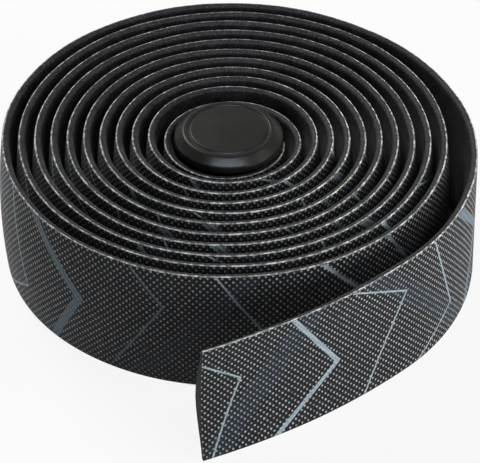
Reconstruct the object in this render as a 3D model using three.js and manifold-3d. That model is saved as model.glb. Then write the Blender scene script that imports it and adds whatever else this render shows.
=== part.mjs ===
// Roll of cushioned handlebar tape standing on its edge, with a push-in end plug in its core.
// Millimetres, +Z up. The roll's axis is upright, and the tape's free end swings out towards -Y.
// The outer face of the tape is the line that the path follows, and its crowned back faces the axis.

import * as THREE from 'three';
import { mergeVertices } from 'three/addons/utils/BufferGeometryUtils.js';
import Module from 'manifold-3d';

// Tape
const tapeWidth = 30;
const tapeThickness = 3.05;
const edgeThickness = 0.9;
const crownLead = 5.5;
const crownFacets = 3;

// Winding
const turnGap = 0.48;
const woundTurns = 10.8;
const looseSlack = 4.3;
const looseSweep = THREE.MathUtils.degToRad(118);
const freeEndRadius = 143.6;
const freeEndLength = 52;
const facetSag = 0.09;

// End plug
const ribRadius = 8.95;
const ribHeight = 0.75;
const ribWidth = 1.4;
const ribCount = 8;
const shankLength = 20;
const shankWall = 1.3;
const shankLead = 0.6;
const capRadius = 11.9;
const capEdgeHeight = 1.6;
const capBevelWidth = 1.9;
const capBevelHeight = 1.6;
const grooveRadius = 8.7;
const grooveWidth = 0.7;
const grooveDepth = 0.35;
const plugFacets = 64;

// How the plug sits in the roll
const coreClearance = 0.3;
const seatClearance = 0.3;
const pressDepth = 1.6;
const pressedTurns = 0.85;
const releasedTurns = 1.25;

// Sizes that follow
const pitch = tapeThickness + turnGap;
const pitchPerRadian = pitch / (2 * Math.PI);
const firstRadius = ribRadius + coreClearance + tapeThickness;
const lastRadius = firstRadius + pitch * woundTurns;
const looseRadius = lastRadius + looseSlack;
const freeEndSweep = freeEndLength / freeEndRadius;
const shankRadius = ribRadius - ribHeight;
const capBase = tapeWidth - pressDepth + seatClearance;
const capShoulder = capBase + capEdgeHeight;
const capTop = capShoulder + capBevelHeight;
const shankEnd = capBase - shankLength;

// Each facet of the path strays from the true curve by the same small sag,
// so a stretch's facets go with its angle times the square root of its radius.
const facetScale = Math.sqrt(8 * facetSag);
const spiralFacets = (lastRadius ** 1.5 - firstRadius ** 1.5) / (1.5 * pitchPerRadian * facetScale);
const looseFacets = looseSweep * Math.sqrt(looseRadius) / facetScale;
const freeEndFacets = freeEndSweep * Math.sqrt(freeEndRadius) / facetScale;
const pathFacets = Math.ceil(spiralFacets + looseFacets + freeEndFacets);

const up = new THREE.Vector3(0, 0, 1);

function onSpiral(radius) {
  const turns = (radius - firstRadius) / pitch;
  const angle = -2 * Math.PI * turns;
  const radial = new THREE.Vector3(Math.cos(angle), Math.sin(angle), 0);
  const clockwise = new THREE.Vector3(radial.y, -radial.x, 0);
  const outward = radial.clone().multiplyScalar(radius).addScaledVector(clockwise, -pitchPerRadian).normalize();
  return { point: radial.multiplyScalar(radius), outward, turns };
}

// A clockwise arc that carries on smoothly from where another stretch ends
function onArc(start, radius, angle) {
  const outward = start.outward.clone().applyAxisAngle(up, -angle);
  const point = start.point.clone().addScaledVector(start.outward, -radius).addScaledVector(outward, radius);
  return { point, outward, turns: woundTurns };
}

const spiralEnd = onSpiral(lastRadius);
const looseEnd = onArc(spiralEnd, looseRadius, looseSweep);

// The path by share of its facets: the wound spiral, the loosened last turn, then the free end
function onPath(share) {
  const facets = share * (spiralFacets + looseFacets + freeEndFacets);
  if (facets < spiralFacets) {
    const wound = facets / spiralFacets;
    return onSpiral(((1 - wound) * firstRadius ** 1.5 + wound * lastRadius ** 1.5) ** (2 / 3));
  }
  if (facets < spiralFacets + looseFacets) {
    return onArc(spiralEnd, looseRadius, looseSweep * (facets - spiralFacets) / looseFacets);
  }
  const swung = (facets - spiralFacets - looseFacets) / freeEndFacets;
  return onArc(looseEnd, freeEndRadius, freeEndSweep * swung);
}

// The plug's cap presses the first turn down, and the tape comes back to its full width in the second
function heightShare(turns) {
  const released = THREE.MathUtils.smoothstep(turns, pressedTurns, releasedTurns);
  return 1 - (1 - released) * pressDepth / tapeWidth;
}

class TapePath extends THREE.Curve {
  getPoint(share, target = new THREE.Vector3()) {
    return target.copy(onPath(share).point);
  }

  // Equal shares of the path are equal shares of its facets, not of its length
  getUtoTmapping(share) {
    return share;
  }

  // The section stays upright: its first axis runs down the tape's width, its second one outwards
  computeFrenetFrames(segments) {
    const frames = { tangents: [], normals: [], binormals: [] };
    for (let i = 0; i <= segments; i++) {
      const { outward, turns } = onPath(i / segments);
      frames.tangents.push(outward.clone().cross(up));
      frames.normals.push(up.clone().multiplyScalar(-heightShare(turns)));
      frames.binormals.push(outward);
    }
    return frames;
  }
}

// Flat outer face on the path. The back is thin along both cut rims and swells smoothly to its crown;
// its curve sets off level at the rims and comes level at the crown, over the crown's lead each time.
function tapeSection() {
  const middle = -tapeWidth / 2;
  const section = new THREE.Shape();
  section.moveTo(-tapeWidth, -edgeThickness);
  section.bezierCurveTo(
    -tapeWidth + crownLead, -edgeThickness, middle - crownLead, -tapeThickness, middle, -tapeThickness);
  section.bezierCurveTo(
    middle + crownLead, -tapeThickness, -crownLead, -edgeThickness, 0, -edgeThickness);
  section.lineTo(0, 0);
  section.lineTo(-tapeWidth, 0);
  return section;
}

function tapeGeometry() {
  return new THREE.ExtrudeGeometry(tapeSection(), {
    curveSegments: crownFacets,
    steps: pathFacets,
    extrudePath: new TapePath(),
  });
}

const wasm = await Module();
wasm.setup();

function toSolid(geometry) {
  const bare = geometry.clone();
  bare.deleteAttribute('normal');
  bare.deleteAttribute('uv');
  const merged = mergeVertices(bare);
  return new wasm.Manifold(new wasm.Mesh({
    numProp: 3,
    vertProperties: new Float32Array(merged.attributes.position.array),
    triVerts: new Uint32Array(merged.index.array),
  }));
}

function toGeometry(solid) {
  const mesh = solid.getMesh();
  const geometry = new THREE.BufferGeometry();
  geometry.setAttribute('position', new THREE.BufferAttribute(mesh.vertProperties, 3));
  geometry.setIndex(new THREE.BufferAttribute(mesh.triVerts, 1));
  geometry.computeVertexNormals();
  return geometry;
}

// Cap with a bevelled edge and a ring groove, on a hollow shank that is open at its lower end
function plugBody() {
  const faceRadius = capRadius - capBevelWidth;
  const boreRadius = shankRadius - shankWall;
  const outline = [
    [0, capBase + grooveDepth],
    [boreRadius, capBase + grooveDepth],
    [boreRadius, shankEnd],
    [shankRadius - shankLead, shankEnd],
    [shankRadius, shankEnd + shankLead],
    [shankRadius, capBase],
    [capRadius, capBase],
    [capRadius, capShoulder],
    [faceRadius, capTop],
    [grooveRadius + grooveWidth / 2, capTop],
    [grooveRadius, capTop - grooveDepth],
    [grooveRadius - grooveWidth / 2, capTop],
    [0, capTop],
  ];
  const body = new THREE.LatheGeometry(outline.map(([r, z]) => new THREE.Vector2(r, z)), plugFacets);
  return body.rotateX(Math.PI / 2);
}

// One rib that grips the bore of a bar, from inside the shank's wall to the rib radius
function plugRib(index) {
  const rooted = shankWall / 2;
  const length = shankLength - shankLead;
  const rib = new THREE.BoxGeometry(ribHeight + rooted, ribWidth, length);
  rib.translate(shankRadius + (ribHeight - rooted) / 2, 0, capBase - length / 2);
  return rib.rotateZ(index * 2 * Math.PI / ribCount);
}

function plugGeometry() {
  let solid = toSolid(plugBody());
  for (let i = 0; i < ribCount; i++) {
    solid = solid.add(toSolid(plugRib(i)));
  }
  return toGeometry(solid);
}

const tape = new THREE.Mesh(
  tapeGeometry(),
  new THREE.MeshStandardMaterial({ color: 0x26282b, roughness: 0.75, metalness: 0 }));
tape.name = 'tape';

const endPlug = new THREE.Mesh(
  plugGeometry(),
  new THREE.MeshStandardMaterial({ color: 0x2b2b29, roughness: 0.55, metalness: 0 }));
endPlug.name = 'end_plug';

const group = new THREE.Group();
group.add(tape, endPlug);

// The origin is under the middle of the whole object, on the surface that it stands on
const middle = new THREE.Box3().setFromObject(group, true).getCenter(new THREE.Vector3());
group.position.set(-middle.x, -middle.y, 0);

export default group;
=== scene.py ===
import math

import bmesh
import bpy
import numpy as np
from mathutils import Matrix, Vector


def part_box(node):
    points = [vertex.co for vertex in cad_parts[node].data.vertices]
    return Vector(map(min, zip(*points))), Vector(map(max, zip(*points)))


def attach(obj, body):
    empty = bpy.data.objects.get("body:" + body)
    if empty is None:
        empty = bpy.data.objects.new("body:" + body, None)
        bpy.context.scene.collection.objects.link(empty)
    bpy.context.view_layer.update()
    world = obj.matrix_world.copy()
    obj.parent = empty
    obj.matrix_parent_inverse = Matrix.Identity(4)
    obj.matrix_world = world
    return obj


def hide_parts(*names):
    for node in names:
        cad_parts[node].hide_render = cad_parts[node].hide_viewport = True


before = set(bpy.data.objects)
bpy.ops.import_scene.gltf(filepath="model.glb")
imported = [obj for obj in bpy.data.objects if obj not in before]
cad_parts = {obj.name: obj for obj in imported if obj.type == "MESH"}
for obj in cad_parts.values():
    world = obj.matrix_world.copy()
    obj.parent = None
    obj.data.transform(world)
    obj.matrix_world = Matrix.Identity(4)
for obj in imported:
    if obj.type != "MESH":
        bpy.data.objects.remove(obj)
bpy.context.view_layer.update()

MM = 0.001

# Tape, as in the CAD model, in metres
TAPE_LOW, TAPE_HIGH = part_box("tape")
TAPE_WIDTH = TAPE_HIGH.z - TAPE_LOW.z
TAPE_THICKNESS = 3.05 * MM
EDGE_THICKNESS = 0.9 * MM

# Winding, as in the CAD model
TURN_GAP = 0.48 * MM
WOUND_TURNS = 10.8
LOOSE_SLACK = 4.3 * MM
LOOSE_SWEEP = math.radians(118)
FREE_END_RADIUS = 143.6 * MM
FREE_END_LENGTH = 52 * MM
PRESS_DEPTH = 1.6 * MM
PRESSED_TURNS = 0.85
RELEASED_TURNS = 1.25

# End plug, as in the CAD model
PLUG_LOW, PLUG_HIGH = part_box("end_plug")
RIB_RADIUS = 8.95 * MM
RIB_HEIGHT = 0.75 * MM
RIB_WIDTH = 1.4 * MM
RIB_COUNT = 8
SHANK_LENGTH = 20 * MM
SHANK_WALL = 1.3 * MM
SHANK_LEAD = 0.6 * MM
CAP_EDGE_HEIGHT = 1.6 * MM
CAP_BEVEL_WIDTH = 1.9 * MM
GROOVE_RADIUS = 8.7 * MM
GROOVE_WIDTH = 0.7 * MM
GROOVE_DEPTH = 0.35 * MM
CORE_CLEARANCE = 0.3 * MM

# Sizes that follow
AXIS = Vector(((PLUG_LOW.x + PLUG_HIGH.x) / 2, (PLUG_LOW.y + PLUG_HIGH.y) / 2, 0))
CAP_RADIUS = (PLUG_HIGH.x - PLUG_LOW.x) / 2
CAP_TOP = PLUG_HIGH.z
SHANK_END = PLUG_LOW.z
CAP_BASE = SHANK_END + SHANK_LENGTH
CAP_SHOULDER = CAP_BASE + CAP_EDGE_HEIGHT
SHANK_RADIUS = RIB_RADIUS - RIB_HEIGHT
PITCH = TAPE_THICKNESS + TURN_GAP
PITCH_PER_RADIAN = PITCH / (2 * math.pi)
FIRST_RADIUS = RIB_RADIUS + CORE_CLEARANCE + TAPE_THICKNESS
LAST_RADIUS = FIRST_RADIUS + PITCH * WOUND_TURNS
LOOSE_RADIUS = LAST_RADIUS + LOOSE_SLACK

# How finely the winding line and the strip are divided, and how the strip's cut lips are rounded
SPIRAL_SAMPLES = 8000
LOOSE_SAMPLES = 600
FREE_END_SAMPLES = 200
STRIP_STEPS = 1500
WIDTH_STRIPS = 16
LIP_STEPS = 3
OUTER_LIP = 0.28 * MM
INNER_LIP = 0.45 * MM
TAPE_TOLERANCE = 0.01 * MM
TAPE_SHARP_ANGLE = math.radians(50)

# How the strip sits once it is wound: its foam is rounder than at the cut end, and its outer face
# bulges between the lips, goes flat where it is let go, and is cupped towards its free end
WOUND_ROUNDNESS = 0.5
CUT_END_REACH = 45 * MM
FULL_BULGE = 1.0 * MM
LAST_TURN_BULGE = 0.9 * MM
BULGE_TURNS = 1.5
LOOSENING_LENGTH = LOOSE_RADIUS * LOOSE_SWEEP / 2
FREE_END_CUP = 1.1 * MM
CUPPED_LENGTH = 1.5 * FREE_END_LENGTH

# How far the strip strays from the true spiral and its upper lip from level, in which wavelengths,
# and the seed of each wave's phases
RADIAL_WANDER = 0.07 * MM
RADIAL_WAVES = (37 * MM, 61 * MM, 143 * MM)
RADIAL_SEED = 3
EDGE_WANDER = 0.16 * MM
EDGE_WAVES = (29 * MM, 83 * MM, 190 * MM)
EDGE_SEED = 5

# How finely the plug is turned, and how its corners are rounded: by a radius, or by less beside a side
# that is too short for it
PLUG_STEPS = 160
CORNER_STEPS = 4
CORNER_ROUNDING = 0.35 * MM
CORNER_SHARE = 0.45
MERGE_DISTANCE = 0.001 * MM
WALL_TOLERANCE = 0.1 * MM
PLUG_SHARP_ANGLE = math.radians(40)


def smoothstep(value, low, high):
    share = np.clip((value - low) / (high - low), 0, 1)
    return share * share * (3 - 2 * share)


def slow_waves(along, wavelengths, seed):
    """A gentle, aimless wave between about -1 and 1 along the strip."""
    phases = np.random.default_rng(seed).uniform(0, 2 * math.pi, len(wavelengths))
    waves = [np.sin(2 * math.pi * along / w + p) for w, p in zip(wavelengths, phases)]
    return sum(waves) / len(waves)


# The winding line


def on_spiral(turns):
    """Place and outward direction on the spiral, as rows of x, y, outward x, outward y."""
    angle = -2 * math.pi * turns
    radius = FIRST_RADIUS + PITCH * turns
    radial = np.stack([np.cos(angle), np.sin(angle)])
    clockwise = np.stack([radial[1], -radial[0]])
    outward = radius * radial - PITCH_PER_RADIAN * clockwise
    return np.vstack([radius * radial, outward / np.linalg.norm(outward, axis=0)])


def on_arc(start, radius, angle):
    """The same on a clockwise arc that carries on smoothly from start."""
    x, y, out_x, out_y = start
    turned_x = out_x * np.cos(angle) + out_y * np.sin(angle)
    turned_y = out_y * np.cos(angle) - out_x * np.sin(angle)
    return np.vstack(
        [x + radius * (turned_x - out_x), y + radius * (turned_y - out_y), turned_x, turned_y]
    )


def winding_line():
    """The line from the core to the free end: its length so far, its places and the turns wound."""
    turns = np.linspace(0, WOUND_TURNS, SPIRAL_SAMPLES)
    spiral = on_spiral(turns)
    sweep = np.linspace(0, LOOSE_SWEEP, LOOSE_SAMPLES)[1:]
    loose = on_arc(spiral[:, -1], LOOSE_RADIUS, sweep)
    swing = np.linspace(0, FREE_END_LENGTH / FREE_END_RADIUS, FREE_END_SAMPLES)[1:]
    free_end = on_arc(loose[:, -1], FREE_END_RADIUS, swing)
    places = np.hstack([spiral, loose, free_end])
    length = np.concatenate([[0], np.cumsum(np.hypot(*np.diff(places[:2])))])
    wound = np.concatenate([turns, np.full(places.shape[1] - len(turns), WOUND_TURNS)])
    return length, places, wound


LINE_LENGTH, LINE_PLACES, LINE_TURNS = winding_line()
TAPE_LENGTH = float(LINE_LENGTH[-1])


# Shader maths


class Value:
    """An output socket of a node. Python's operators on it add Math nodes."""

    def __init__(self, finish, socket):
        self.finish = finish
        self.socket = socket

    def math(self, operation, *values):
        return self.finish.add("Math", {"operation": operation}, dict(enumerate(values)))

    def __add__(self, other):
        return self.math("ADD", self, other)

    def __sub__(self, other):
        return self.math("SUBTRACT", self, other)

    def __rsub__(self, other):
        return self.math("SUBTRACT", other, self)

    def __mul__(self, other):
        return self.math("MULTIPLY", self, other)

    def __truediv__(self, other):
        return self.math("DIVIDE", self, other)

    def __mod__(self, other):
        return self.math("FLOORED_MODULO", self, other)

    def __abs__(self):
        return self.math("ABSOLUTE", self)

    __radd__ = __add__
    __rmul__ = __mul__

    def cos(self):
        return self.math("COSINE", self)

    def least(self, other):
        return self.math("MINIMUM", self, other)

    def most(self, other):
        return self.math("MAXIMUM", self, other)

    def between(self, low, high):
        """0 up to low, 1 from high on, and smooth in between."""
        settings = {"interpolation_type": "SMOOTHSTEP"}
        return self.finish.add("MapRange", settings, {"Value": self, "From Min": low, "From Max": high})


class Finish:
    """The nodes of a material, or of the world, which are added one by one."""

    def __init__(self, owner):
        self.owner = owner
        owner.use_nodes = True
        self.tree = owner.node_tree
        self.tree.nodes.clear()

    def add(self, kind, settings, sockets, output=0):
        """Adds a node, sets its settings, then its sockets by name or number, and gives an output."""
        node = self.tree.nodes.new("ShaderNode" + kind)
        for name, value in settings.items():
            setattr(node, name, value)
        for name, value in sockets.items():
            if isinstance(value, Value):
                self.tree.links.new(value.socket, node.inputs[name])
            else:
                node.inputs[name].default_value = value
        return Value(self, node.outputs[output])

    def vector(self, operation, *vectors, output=0):
        return self.add("VectorMath", {"operation": operation}, dict(enumerate(vectors)), output)

    def blend(self, factor, first, second):
        """Colour first where factor is 0, second where it is 1."""
        settings = {"data_type": "RGBA"}
        return self.add("Mix", settings, {"Factor": factor, 6: first, 7: second}, 2)

    def grain(self, place, size, detail=2.0, roughness=0.5):
        """Noise from 0 to 1 with features of about the given size, in the units of place."""
        sockets = {"Vector": place, "Scale": 1 / size, "Detail": detail, "Roughness": roughness}
        return self.add("TexNoise", {}, sockets)

    def bump(self, height, depth, under=None):
        """A normal for a relief: height from 0 to 1 over depth metres."""
        sockets = {"Height": height, "Distance": depth, "Strength": 1.0}
        if under is not None:
            sockets["Normal"] = under
        return self.add("Bump", {}, sockets)

    def shown(self, shader, kind="Material"):
        """Links the shader to the output, and gives the material or the world."""
        output = self.tree.nodes.new("ShaderNodeOutput" + kind)
        self.tree.links.new(shader.socket, output.inputs["Surface"])
        return self.owner

    def surface(self, **sockets):
        named = {name.replace("_", " "): value for name, value in sockets.items()}
        return self.shown(self.add("BsdfPrincipled", {}, named))


def new_finish(name):
    return Finish(bpy.data.materials.new(name))


def rgb(red, green, blue):
    return (red, green, blue, 1.0)


# Materials

# Places on the strip and sizes of grain are in millimetres, depths of relief in metres. A span gives
# the values at which a mask is empty and full.

# Embossed skin. The pimples' pale tips are painted glints, dimmed in the tight turns far from the free
# end as painted shade
EMBOSS_ALONG = 1.52
EMBOSS_ACROSS = 1.64
EMBOSS_DEPTH = 0.22 * MM
SKIN_GRAIN = 0.22
SKIN_GRAIN_DEPTH = 0.03 * MM
SKIN_BLACK = rgb(0.0092, 0.0096, 0.0106)
# Pale tips of the pimples: a painted highlight that stands in for their glints
GLINT_GREY = rgb(0.43, 0.45, 0.47)
GLINT_SPAN = (0.69, 0.97)
GLINT_UNEVENNESS = 0.4
GLINT_UNEVEN_GRAIN = 1.7
# Painted shade: along the strip from here on, the painted glints are dimmed by this share in the tight
# turns
SHADE_DIMMING_SPAN = (440.0, 600.0)
SHADE_DIMMING_LOSS = 0.35

# Mottled ink of the print. Lines cover at least half of the skin under them, bands at most half.
PALE_INK = rgb(0.34, 0.42, 0.47)
MID_INK = rgb(0.15, 0.20, 0.24)
DIM_INK = rgb(0.035, 0.052, 0.075)
INK_GRAIN = 0.35
INK_LEAST_COVER = 0.5
INK_MOTTLE = 0.7
INK_EDGE = 0.06
BAND_COVER = 0.5
BAND_EDGE = 0.3

# Bare foam, with fine open cells and larger paler patches
FOAM_DARK = rgb(0.006, 0.006, 0.0065)
FOAM_PALE = rgb(0.036, 0.036, 0.038)
FOAM_SPAN = (0.45, 0.85)
CELL_GRAIN = 0.35
CELL_SHARE = 0.8
CELL_DEPTH = 0.05 * MM
PATCH_GRAIN = 2.6
PATCH_SHARE = 0.4

# Cut lips: grey specks in the foam, and a painted highlight along the lip's rounded ridge, a thin line
# that is ragged and broken. Its spans are distances past the edge of the printed face.
SPECK_GREY = rgb(0.06, 0.06, 0.06)
SPECK_GRAIN = 0.45
SPECK_SPAN = (0.50, 0.66)
# Painted highlight along the lip's ridge, and where it lies past the edge of the printed face
RIDGE_HIGHLIGHT_GREY = rgb(0.85, 0.85, 0.83)
HIGHLIGHT_INNER_SPAN = (-0.22, -0.02)
HIGHLIGHT_OUTER_SPAN = (0.20, 0.40)
RAGGED_GRAIN = 0.6
RAGGEDNESS = 0.5
BROKEN_GRAIN = 1.1
BROKEN_SPAN = (0.42, 0.62)
BROKEN_SHARE = 0.85

# Plug's plastic, with a spark-eroded grain and faint clouds
PLASTIC_DARK = rgb(0.010, 0.010, 0.008)
PLASTIC_PALE = rgb(0.014, 0.014, 0.012)
PLASTIC_GRAIN = 0.25
PLASTIC_GRAIN_DEPTH = 0.012 * MM
CLOUD_GRAIN = 4.0
CLOUD_SPAN = (0.3, 0.7)

# Printed chevrons and bars: line width, then the points that the line joins, in millimetres from
# the free end and up from the lower edge. The whole print comes back after each repeat.
PRINT_REPEAT = 215.0
PALE_LINES = (
    (0.45, (-6, 30), (9, 19), (2, 0)),
    (1.1, (17, 0), (33, 13), (21, 30)),
    (0.45, (36, 30), (52, 22), (40, 0)),
    (0.45, (56, 0), (69, 8), (61, 30)),
    (0.45, (118, 30), (131, 11), (122, 0)),
    (0.8, (134, 0), (152, 18), (141, 30)),
)
MID_LINES = (
    (2.0, (72, 30), (87, 16), (78, 0)),
    (0.45, (94, 0), (107, 21), (99, 30)),
    (0.8, (158, 30), (171, 9), (165, 0)),
)
DIM_BANDS = (
    (5.0, (44, 30), (74, 0)),
    (4.0, (100, 0), (126, 30)),
    (6.0, (2, 0), (26, 30)),
)


def strip_place(finish):
    """Place on the unrolled strip in millimetres: x from the free end, y up from the lower edge."""
    strip = finish.add("UVMap", {"uv_map": "strip"}, {})
    return finish.add("VectorMath", {"operation": "SCALE"}, {0: strip, "Scale": 1 / MM})


def solid_place(finish):
    """Place in the object in millimetres, for a grain that is as fine on a lip as on a face."""
    solid = finish.add("TexCoord", {}, {}, "Object")
    return finish.add("VectorMath", {"operation": "SCALE"}, {0: solid, "Scale": 1 / MM})


def distance_to_line(finish, place, points):
    """Distance from place to a chain of straight strokes."""
    nearest = None
    for (x0, y0), (x1, y1) in zip(points, points[1:]):
        start = finish.vector("SUBTRACT", place, (x0, y0, 0))
        run = (x1 - x0, y1 - y0, 0)
        share = finish.vector("DOT_PRODUCT", start, run, output="Value") / (run[0] ** 2 + run[1] ** 2)
        share = share.most(0.0).least(1.0)
        foot = finish.add("VectorMath", {"operation": "SCALE"}, {0: run, "Scale": share})
        stroke = finish.vector("DISTANCE", start, foot, output="Value")
        nearest = stroke if nearest is None else nearest.least(stroke)
    return nearest


def print_mask(finish, place, lines, edge):
    """1 on the printed lines, 0 off them, with a soft edge of the given width."""
    mask = None
    for width, *points in lines:
        gap = distance_to_line(finish, place, points) - width / 2
        inked = 1 - gap.between(-edge, edge)
        mask = inked if mask is None else mask.most(inked)
    return mask


def printed_face():
    """Embossed outer skin: staggered pimples with pale tips, which are painted glints, and the printed
    lines over them.
    The painted glints are dimmed in the tight turns inside the roll, as painted shade between the turns."""
    finish = new_finish("embossed printed face")
    place = strip_place(finish)
    axes = {name: finish.add("SeparateXYZ", {}, {"Vector": place}, name) for name in "XY"}
    along, across = axes["X"], axes["Y"]

    wave_along = (along * (2 * math.pi / EMBOSS_ALONG)).cos()
    wave_across = (across * (2 * math.pi / EMBOSS_ACROSS)).cos()
    pimple = wave_along * wave_across * 0.5 + 0.5
    uneven = (finish.grain(place, GLINT_UNEVEN_GRAIN) - 0.5) * GLINT_UNEVENNESS
    # Painted shade: the painted glints are dimmed in the tight turns, far from the free end
    inner_shade = along.between(*SHADE_DIMMING_SPAN)
    # Painted glints: the pimples' tips are made paler, standing in for their glints
    painted_glint = (pimple + uneven).between(*GLINT_SPAN) * (1 - inner_shade * SHADE_DIMMING_LOSS)

    repeat = finish.add("CombineXYZ", {}, {"X": along % PRINT_REPEAT, "Y": across})
    mottle = finish.grain(place, INK_GRAIN, detail=3.0)
    cover = (mottle * INK_MOTTLE + INK_LEAST_COVER).least(1.0)
    pale = print_mask(finish, repeat, PALE_LINES, INK_EDGE) * cover
    middle = print_mask(finish, repeat, MID_LINES, INK_EDGE) * cover
    dim = print_mask(finish, repeat, DIM_BANDS, BAND_EDGE) * mottle

    # The painted glints are mixed over the black skin
    ground = finish.blend(painted_glint, SKIN_BLACK, GLINT_GREY)
    colour = finish.blend(dim * BAND_COVER, ground, DIM_INK)
    colour = finish.blend(middle, colour, MID_INK)
    colour = finish.blend(pale, colour, PALE_INK)
    grain = finish.bump(finish.grain(place, SKIN_GRAIN), SKIN_GRAIN_DEPTH)
    relief = finish.bump(pimple, EMBOSS_DEPTH, grain)
    return finish.surface(
        Base_Color=colour,
        Roughness=0.55 - painted_glint * 0.2,
        Specular_IOR_Level=0.09,
        Sheen_Weight=0.08,
        Sheen_Roughness=0.3,
        Normal=relief,
    )


def foam(finish, place):
    """Colour and relief of the bare foam: charcoal with a fine, uneven mottle of open cells."""
    cells = finish.grain(place, CELL_GRAIN, detail=3.0, roughness=0.65)
    patches = finish.grain(place, PATCH_GRAIN)
    pale = (cells * CELL_SHARE + patches * PATCH_SHARE).between(*FOAM_SPAN)
    colour = finish.blend(pale, FOAM_DARK, FOAM_PALE)
    return colour, finish.bump(cells, CELL_DEPTH)


def foam_back():
    """Bare back of the foam, whose fuzz brightens where it is seen at a low angle."""
    finish = new_finish("foam back")
    colour, relief = foam(finish, solid_place(finish))
    return finish.surface(
        Base_Color=colour,
        Roughness=0.6,
        Specular_IOR_Level=0.04,
        Sheen_Weight=0.15,
        Sheen_Roughness=0.25,
        Normal=relief,
    )


def cut_lip():
    """Lip of the strip: speckled foam, with a painted highlight along its ridge as a thin broken pale
    line.
    """
    finish = new_finish("cut lip")
    place = solid_place(finish)
    colour, relief = foam(finish, place)
    specks = finish.grain(place, SPECK_GRAIN, detail=3.0, roughness=0.7).between(*SPECK_SPAN)
    colour = finish.blend(specks, colour, SPECK_GREY)
    across = finish.add("SeparateXYZ", {}, {"Vector": strip_place(finish)}, "Y")
    half_width = TAPE_WIDTH / MM / 2
    past_rim = abs(across - half_width) - half_width
    ragged = past_rim + (finish.grain(place, RAGGED_GRAIN, detail=3.0) - 0.5) * RAGGEDNESS
    # Painted highlight: a thin pale line along the lip's ridge, just past the printed face's edge
    ridge_highlight = ragged.between(*HIGHLIGHT_INNER_SPAN) - ragged.between(*HIGHLIGHT_OUTER_SPAN)
    broken = finish.grain(place, BROKEN_GRAIN, detail=4.0, roughness=0.75).between(*BROKEN_SPAN)
    whole = broken * BROKEN_SHARE + (1 - BROKEN_SHARE)
    colour = finish.blend(ridge_highlight * whole, colour, RIDGE_HIGHLIGHT_GREY)
    return finish.surface(
        Base_Color=colour,
        Roughness=0.5,
        Specular_IOR_Level=0.07,
        Sheen_Weight=0.2,
        Sheen_Roughness=0.25,
        Normal=relief,
    )


def moulded_plastic():
    """Black plastic with a fine spark-eroded grain and faint clouds."""
    finish = new_finish("moulded plastic")
    place = solid_place(finish)
    grain = finish.grain(place, PLASTIC_GRAIN, detail=3.0)
    cloud = finish.grain(place, CLOUD_GRAIN)
    return finish.surface(
        Base_Color=finish.blend(cloud.between(*CLOUD_SPAN), PLASTIC_DARK, PLASTIC_PALE),
        Roughness=0.26 + cloud * 0.06,
        Specular_IOR_Level=0.08,
        Normal=finish.bump(grain, PLASTIC_GRAIN_DEPTH),
    )


# Meshes


def to_mesh(shape, name):
    mesh = bpy.data.meshes.new(name)
    shape.to_mesh(mesh)
    shape.free()
    return mesh


def smooth(mesh, sharp_angle):
    """Shades the mesh smooth, apart from the edges that are sharper than the angle."""
    mesh.polygons.foreach_set("use_smooth", np.ones(len(mesh.polygons), bool))
    mesh.set_sharp_from_angle(angle=sharp_angle)


def put_in_scene(mesh):
    piece = bpy.data.objects.new(mesh.name, mesh)
    bpy.context.scene.collection.objects.link(piece)
    return piece


# Tape


def quarter_round(depth, height, radius, start):
    """The points of a lip's quarter circle round (depth, height), which begins at the given angle."""
    angles = start + np.linspace(0, math.pi / 2, LIP_STEPS + 1)
    return [(depth - radius * math.cos(a), height + radius * math.sin(a)) for a in angles]


def flat_section():
    """The strip's section before its crown: depth from the outer face and height from the lower edge."""
    heights = TAPE_WIDTH / 2 * (1 - np.cos(np.linspace(0, math.pi, WIDTH_STRIPS + 1)))
    outer = heights[(heights > OUTER_LIP) & (heights < TAPE_WIDTH - OUTER_LIP)]
    inner = heights[(heights > INNER_LIP) & (heights < TAPE_WIDTH - INNER_LIP)]
    inner_depth = EDGE_THICKNESS - INNER_LIP
    return (
        [(0, height) for height in outer]
        + quarter_round(OUTER_LIP, TAPE_WIDTH - OUTER_LIP, OUTER_LIP, 0)
        + quarter_round(inner_depth, TAPE_WIDTH - INNER_LIP, INNER_LIP, math.pi / 2)
        + [(EDGE_THICKNESS, height) for height in inner[::-1]]
        + quarter_round(inner_depth, INNER_LIP, INNER_LIP, math.pi)
        + quarter_round(OUTER_LIP, OUTER_LIP, OUTER_LIP, 1.5 * math.pi)
    )


def flat_strip():
    """The strip before it is wound up: x runs along it, y from its outer face inwards, z up its width."""
    shape = bmesh.new()
    end = shape.faces.new([shape.verts.new((0, depth, height)) for depth, height in flat_section()])
    drawn = bmesh.ops.extrude_face_region(shape, geom=[end], use_keep_orig=True)
    moved = [part for part in drawn["geom"] if isinstance(part, bmesh.types.BMVert)]
    bmesh.ops.translate(shape, vec=(TAPE_LENGTH, 0, 0), verts=moved)
    lengthwise = [edge for edge in shape.edges if edge.calc_length() > TAPE_LENGTH / 2]
    bmesh.ops.subdivide_edges(shape, edges=lengthwise, cuts=STRIP_STEPS - 1, use_grid_fill=True)
    bmesh.ops.recalc_face_normals(shape, faces=shape.faces)
    # Winding the strip up mirrors it, which turns its faces outwards again
    bmesh.ops.reverse_faces(shape, faces=shape.faces)
    return shape


def crowned(along, depth, across):
    """A point's depth once the foam has its crown: round where it is wound, a bell at the cut end."""
    middle = np.clip(1 - 2 * across / TAPE_WIDTH, -1, 1)
    wound = (1 - middle**2) ** WOUND_ROUNDNESS
    bell = (1 + np.cos(math.pi * middle)) / 2
    cut = smoothstep(along, TAPE_LENGTH - CUT_END_REACH, TAPE_LENGTH)
    crown = (TAPE_THICKNESS - EDGE_THICKNESS) * (wound + (bell - wound) * cut)
    return depth * (1 + crown / EDGE_THICKNESS)


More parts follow.
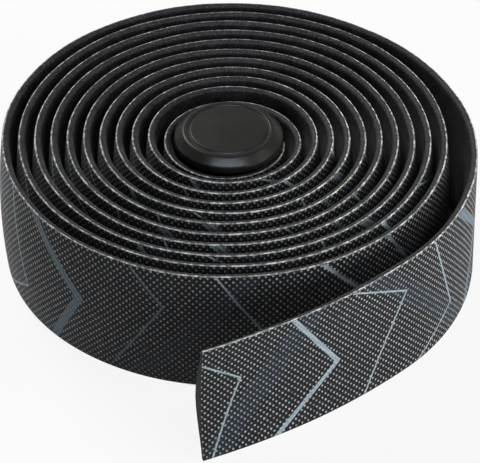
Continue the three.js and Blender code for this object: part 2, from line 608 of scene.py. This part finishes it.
def bulge(along, turns):
    """How far the outer face stands out between its lips, below 0 where it is cupped."""
    settled = smoothstep(turns, 0, BULGE_TURNS)
    held = FULL_BULGE + (LAST_TURN_BULGE - FULL_BULGE) * turns / WOUND_TURNS
    let_go = LINE_LENGTH[np.searchsorted(LINE_TURNS, WOUND_TURNS)]
    loosened = smoothstep(along, let_go, let_go + LOOSENING_LENGTH)
    cupped = smoothstep(along, TAPE_LENGTH - CUPPED_LENGTH, TAPE_LENGTH)
    return settled * held - LAST_TURN_BULGE * loosened - FREE_END_CUP * cupped


def rolled(along, depth, across):
    """Where a point of the flat strip goes when the strip is wound up."""
    x, y, out_x, out_y = (np.interp(along, LINE_LENGTH, row) for row in LINE_PLACES)
    turns = np.interp(along, LINE_LENGTH, LINE_TURNS)
    released = smoothstep(turns, PRESSED_TURNS, RELEASED_TURNS)
    height = 1 - (1 - released) * PRESS_DEPTH / TAPE_WIDTH
    middle = 1 - 2 * across / TAPE_WIDTH
    outward = bulge(along, turns) * (1 - middle**2) - depth
    outward = outward + RADIAL_WANDER * slow_waves(along, RADIAL_WAVES, RADIAL_SEED)
    upper = smoothstep(across, TAPE_WIDTH / 2, TAPE_WIDTH)
    edge = EDGE_WANDER * upper * slow_waves(along, EDGE_WAVES, EDGE_SEED)
    return np.stack(
        [AXIS.x + x + out_x * outward, AXIS.y + y + out_y * outward, across * height + edge], axis=1
    )


def map_strip(mesh, along, depth, across):
    """Gives each corner its place on the unrolled strip: from the free end, and up from the lower edge.
    The lips lie past the two edges there, unfolded."""
    corner = np.empty(len(mesh.loops), int)
    mesh.loops.foreach_get("vertex_index", corner)
    unrolled = across + np.where(across > TAPE_WIDTH / 2, depth, -depth)
    strip = np.stack([TAPE_LENGTH - along, unrolled], axis=1)
    mesh.uv_layers.new(name="strip").data.foreach_set("uv", strip[corner].ravel())


def dress_strip(mesh):
    """Gives each face of the flat strip its material: printed face, foam back or cut lip."""
    middle = np.empty(len(mesh.polygons) * 3)
    mesh.polygons.foreach_get("center", middle)
    along, depth, across = middle.reshape(-1, 3).T
    at_lip = np.minimum(across, TAPE_WIDTH - across) < INNER_LIP
    at_end = np.minimum(along, TAPE_LENGTH - along) < TAPE_TOLERANCE
    outside = depth < TAPE_TOLERANCE
    face_slot, back_slot, lip_slot = range(3)
    slots = np.where(outside, face_slot, np.where(at_lip, lip_slot, back_slot))
    slots[at_end] = back_slot
    for material in (printed_face(), foam_back(), cut_lip()):
        mesh.materials.append(material)
    mesh.polygons.foreach_set("material_index", slots)


def make_tape():
    mesh = to_mesh(flat_strip(), "rolled_tape")
    flat = np.empty(len(mesh.vertices) * 3)
    mesh.vertices.foreach_get("co", flat)
    along, depth, across = flat.reshape(-1, 3).T
    map_strip(mesh, along, depth, across)
    dress_strip(mesh)

    wound = rolled(along, crowned(along, depth, across), across)
    mesh.vertices.foreach_set("co", wound.ravel())
    smooth(mesh, TAPE_SHARP_ANGLE)
    mesh.update()

    tape = put_in_scene(mesh)
    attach(tape, "root")
    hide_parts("tape")


# End plug


def spun(outline, steps):
    """A closed turned shape: the outline of (radius, height) points swept round the plug's axis."""
    shape = bmesh.new()
    verts = [shape.verts.new((radius, 0, height)) for radius, height in outline]
    edges = [shape.edges.new(pair) for pair in zip(verts, verts[1:])]
    bmesh.ops.spin(
        shape,
        geom=verts + edges,
        cent=(0, 0, 0),
        axis=(0, 0, 1),
        angle=2 * math.pi,
        steps=steps,
        use_merge=True,
    )
    bmesh.ops.remove_doubles(shape, verts=shape.verts, dist=MERGE_DISTANCE)
    bmesh.ops.recalc_face_normals(shape, faces=shape.faces)
    return shape


def rounded(outline, radius, segments):
    """The outline with each corner between its two ends rounded off."""
    soft = [outline[0]]
    for before, corner, after in zip(outline, outline[1:], outline[2:]):
        here = Vector(corner)
        back, on = Vector(before) - here, Vector(after) - here
        reach = min(radius, CORNER_SHARE * back.length, CORNER_SHARE * on.length)
        start, end = here + back.normalized() * reach, here + on.normalized() * reach
        for i in range(segments + 1):
            share = i / segments
            curve = start * (1 - share) ** 2 + here * 2 * share * (1 - share) + end * share**2
            soft.append(tuple(curve))
    return soft + [outline[-1]]


def raise_ribs(shape):
    """Moves the shank's wall out to the rib radius along each rib."""
    for vert in shape.verts:
        radius = math.hypot(vert.co.x, vert.co.y)
        turned = math.atan2(vert.co.y, vert.co.x) * RIB_COUNT / (2 * math.pi)
        beside = abs(turned - round(turned)) * 2 * math.pi / RIB_COUNT * radius
        on_wall = SHANK_RADIUS - WALL_TOLERANCE < radius < RIB_RADIUS
        if on_wall and SHANK_END < vert.co.z < CAP_BASE and beside < RIB_WIDTH / 2:
            vert.co.x *= RIB_RADIUS / radius
            vert.co.y *= RIB_RADIUS / radius


def make_plug():
    face_radius = CAP_RADIUS - CAP_BEVEL_WIDTH
    bore_radius = SHANK_RADIUS - SHANK_WALL
    outline = [
        (0, CAP_BASE + GROOVE_DEPTH),
        (bore_radius, CAP_BASE + GROOVE_DEPTH),
        (bore_radius, SHANK_END),
        (SHANK_RADIUS - SHANK_LEAD, SHANK_END),
        (SHANK_RADIUS, SHANK_END + SHANK_LEAD),
        (SHANK_RADIUS, CAP_BASE),
        (CAP_RADIUS, CAP_BASE),
        (CAP_RADIUS, CAP_SHOULDER),
        (face_radius, CAP_TOP),
        (GROOVE_RADIUS + GROOVE_WIDTH / 2, CAP_TOP),
        (GROOVE_RADIUS, CAP_TOP - GROOVE_DEPTH),
        (GROOVE_RADIUS - GROOVE_WIDTH / 2, CAP_TOP),
        (0, CAP_TOP),
    ]
    shape = spun(rounded(outline, CORNER_ROUNDING, CORNER_STEPS), PLUG_STEPS)
    raise_ribs(shape)
    bmesh.ops.translate(shape, vec=AXIS, verts=shape.verts)
    mesh = to_mesh(shape, "bar_end_plug")
    smooth(mesh, PLUG_SHARP_ANGLE)
    mesh.materials.append(moulded_plastic())
    plug = put_in_scene(mesh)
    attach(plug, "root")
    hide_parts("end_plug")


# Studio

CAMERA_ELEVATION = math.radians(38.73)
CAMERA_DISTANCE = 805.4 * MM
CAMERA_LENS = 286.4
CAMERA_SENSOR = 36.0
CAMERA_CLIP_START = 0.01
CAMERA_CLIP_END = 50
AIM = AXIS + Vector((2.485 * MM, -33.239 * MM, TAPE_WIDTH))

# The world's light, and the floor, which doesn't glow within a circle under the roll
AMBIENT = 0.045
FLOOR_SIZE = 6
FLOOR_GREY = rgb(0.75, 0.75, 0.75)
FLOOR_GLOW = 0.9
SHADED_MIDDLE = AXIS + Vector((3.6 * MM, 0, 0))
SHADED_RADIUS = 48.5 * MM
SHADED_EDGE = 1 * MM

# Softboxes that face the object: name, azimuth and elevation in degrees, width and height in metres,
# and power in watts. Azimuth 0 is the camera's side, 90 the right.
LAMP_DISTANCE = 0.9
SOFTBOXES = (
    ("low right softbox", 56, 10, 0.8, 0.4, 8.0),
    ("high right softbox", 85, 40, 0.45, 0.45, 2.6),
    ("back left softbox", -150, 42, 0.35, 0.35, 6.0),
    ("left strip", -105, 6, 0.3, 0.3, 1.4),
)
FRONT_STRIP = ("front strip", 0, 60, 0.8, 0.18, 17.0)
WHITE = (1.0, 1.0, 1.0)
COOL_WHITE = (0.74, 0.86, 1.0)


def make_camera():
    camera = bpy.data.objects.new("camera", bpy.data.cameras.new("camera"))
    camera.data.lens = CAMERA_LENS
    camera.data.sensor_width = CAMERA_SENSOR
    camera.data.clip_start = CAMERA_CLIP_START
    camera.data.clip_end = CAMERA_CLIP_END
    back = Vector((0, -math.cos(CAMERA_ELEVATION), math.sin(CAMERA_ELEVATION)))
    camera.location = AIM + back * CAMERA_DISTANCE
    camera.rotation_mode = "QUATERNION"
    camera.rotation_quaternion = (-back).to_track_quat("-Z", "Y")
    bpy.context.scene.collection.objects.link(camera)
    bpy.context.scene.camera = camera


def make_lamp(name, azimuth, elevation, width, height, power, colour=WHITE):
    lamp = bpy.data.objects.new(name, bpy.data.lights.new(name, "AREA"))
    turn, rise = math.radians(azimuth), math.radians(elevation)
    away = Vector((math.sin(turn) * math.cos(rise), -math.cos(turn) * math.cos(rise), math.sin(rise)))
    lamp.location = away * LAMP_DISTANCE
    lamp.rotation_mode = "QUATERNION"
    lamp.rotation_quaternion = away.to_track_quat("Z", "Y")
    lamp.data.shape = "RECTANGLE"
    lamp.data.size = width
    lamp.data.size_y = height
    lamp.data.energy = power
    lamp.data.color = colour
    bpy.context.scene.collection.objects.link(lamp)
    return lamp


def seen_directly(finish):
    """1 for camera, glossy and transmission rays, which see the background, and 0 for the rest."""
    rays = ("Is Camera Ray", "Is Glossy Ray", "Is Transmission Ray")
    camera, glossy, transmission = (finish.add("LightPath", {}, {}, ray) for ray in rays)
    return camera.most(glossy).most(transmission)


def make_world():
    """White where it is seen directly, and otherwise a dim light from all round."""
    finish = Finish(bpy.data.worlds.new("studio"))
    strength = seen_directly(finish) * (1 - AMBIENT) + AMBIENT
    background = finish.add("Background", {}, {"Color": rgb(1, 1, 1), "Strength": strength})
    bpy.context.scene.world = finish.shown(background, "World")


def pale_floor():
    """Pale grey. Seen directly, part of it glows white, so that only the soft shadow shows on it.
    Under the roll, where it shows through the gap beside the loose turn, it doesn't glow."""
    finish = new_finish("pale floor")
    place = finish.add("TexCoord", {}, {}, "Object")
    from_middle = finish.vector("DISTANCE", place, SHADED_MIDDLE, output="Value")
    clear = ((from_middle - SHADED_RADIUS) / SHADED_EDGE).most(0.0).least(1.0)
    glow = seen_directly(finish) * clear * FLOOR_GLOW
    diffuse = finish.add("BsdfDiffuse", {}, {"Color": FLOOR_GREY})
    white = finish.add("Emission", {}, {"Strength": 1.0})
    return finish.shown(finish.add("MixShader", {}, {0: glow, 1: diffuse, 2: white}))


def make_floor():
    shape = bmesh.new()
    bmesh.ops.create_grid(shape, x_segments=1, y_segments=1, size=FLOOR_SIZE)
    mesh = to_mesh(shape, "floor")
    mesh.materials.append(pale_floor())
    floor = put_in_scene(mesh)


make_camera()
make_tape()
make_plug()
make_world()
make_floor()
for softbox in SOFTBOXES:
    make_lamp(*softbox)
# Seen only as the cool highlight on the plug's bevel and on the lips
front_strip = make_lamp(*FRONT_STRIP, colour=COOL_WHITE)
front_strip.visible_diffuse = False

bpy.context.scene.view_settings.view_transform = "Standard"
